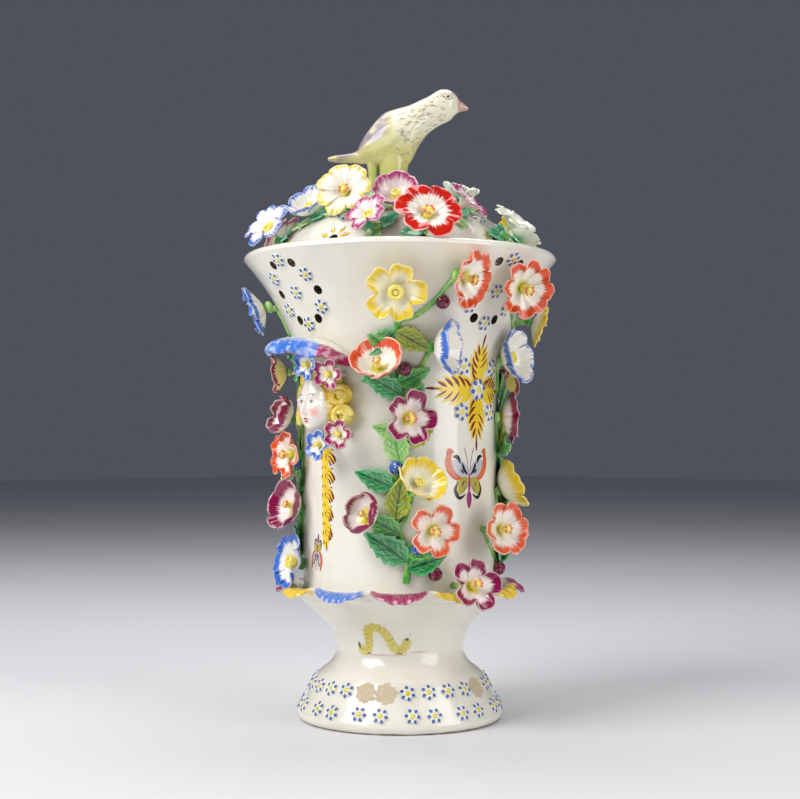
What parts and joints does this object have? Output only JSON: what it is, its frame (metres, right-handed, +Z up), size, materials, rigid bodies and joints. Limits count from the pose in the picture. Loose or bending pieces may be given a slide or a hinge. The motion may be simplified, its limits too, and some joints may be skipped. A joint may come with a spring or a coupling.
{
  "type": "potpourri vase",
  "caption": "Porcelain potpourri vase on a spreading foot, with a frilled collar, flared pierced neck, side masks, applied flower garlands and a lift-off pierced cover with a bird knob.",
  "frame": {"origin": "centre of the foot's ring, on the plane it stands on", "axes": "+Z up, -Y towards the front painted panel, the masks face -X and +X"},
  "size_m": [0.139, 0.1462, 0.28],
  "materials": {
    "porcelain": "gloss",
    "blue_sprig": "gloss",
    "painted_frill": "gloss",
    "face_enamel": "gloss",
    "hood_enamel": "gloss",
    "posy_enamel": "gloss",
    "stem_green": "gloss",
    "leaf_green": "gloss",
    "berry_enamel": "gloss",
    "yellow_petal": "gloss",
    "orange_petal": "gloss",
    "purple_petal": "gloss",
    "blue_petal": "gloss",
    "cover_petal": "gloss",
    "cover_cup_petal": "gloss",
    "stump_green": "gloss",
    "bird_cream": "gloss"
  },
  "bodies": {
    "vase": {"pedestal_foot": "porcelain", "foot_sprigs": "blue_sprig", "frill_collar": "painted_frill", "vase_body": "porcelain", "neck_sprigs": "blue_sprig", "panel_sprigs": "blue_sprig", "left_mask": "face_enamel", "right_mask": "face_enamel", "left_hood": "hood_enamel", "right_hood": "hood_enamel", "left_posy": "posy_enamel", "right_posy": "posy_enamel", "front_left_stem": "stem_green", "front_left_leaves": "leaf_green", "front_left_berries": "berry_enamel", "front_right_stem": "stem_green", "front_right_leaves": "leaf_green", "front_right_berries": "berry_enamel", "rear_left_stem": "stem_green", "rear_left_leaves": "leaf_green", "rear_left_berries": "berry_enamel", "rear_right_stem": "stem_green", "rear_right_leaves": "leaf_green", "rear_right_berries": "berry_enamel", "front_left_yellow_flower": "yellow_petal", "front_left_orange_flower": "orange_petal", "front_left_blue_cup": "blue_petal", "front_left_orange_cup": "orange_petal", "front_left_purple_flower": "purple_petal", "front_left_yellow_cup": "yellow_petal", "front_left_purple_bud": "purple_petal", "front_left_scarlet_flower": "orange_petal", "front_purple_flower": "purple_petal", "front_right_orange_flower": "orange_petal", "front_right_yellow_flower": "yellow_petal", "front_right_blue_cup": "blue_petal", "front_right_purple_flower": "purple_petal", "front_right_yellow_cup": "yellow_petal", "front_right_scarlet_flower": "orange_petal", "rear_left_blue_flower": "blue_petal", "rear_left_purple_bud": "purple_petal", "rear_left_orange_flower": "orange_petal", "rear_left_yellow_flower": "yellow_petal", "rear_left_purple_cup": "purple_petal", "rear_left_blue_low_flower": "blue_petal", "rear_right_purple_flower": "purple_petal", "rear_right_orange_flower": "orange_petal", "rear_right_blue_cup": "blue_petal", "rear_right_yellow_cup": "yellow_petal", "rear_right_scarlet_flower": "orange_petal", "rear_right_purple_bud": "purple_petal", "rear_right_blue_flower": "blue_petal"},
    "cover": {"cover_dome": "porcelain", "cover_sprigs": "blue_sprig", "cover_leaves": "leaf_green", "cover_open_flowers": "cover_petal", "cover_cup_flowers": "cover_cup_petal", "bird_stump": "stump_green", "bird": "bird_cream"}
  },
  "joints": [
    {"name": "cover_lift", "type": "slide", "parent": "vase", "child": "cover", "axis": [0, 0, 1], "range_m": [0, 0.12]}
  ]
}
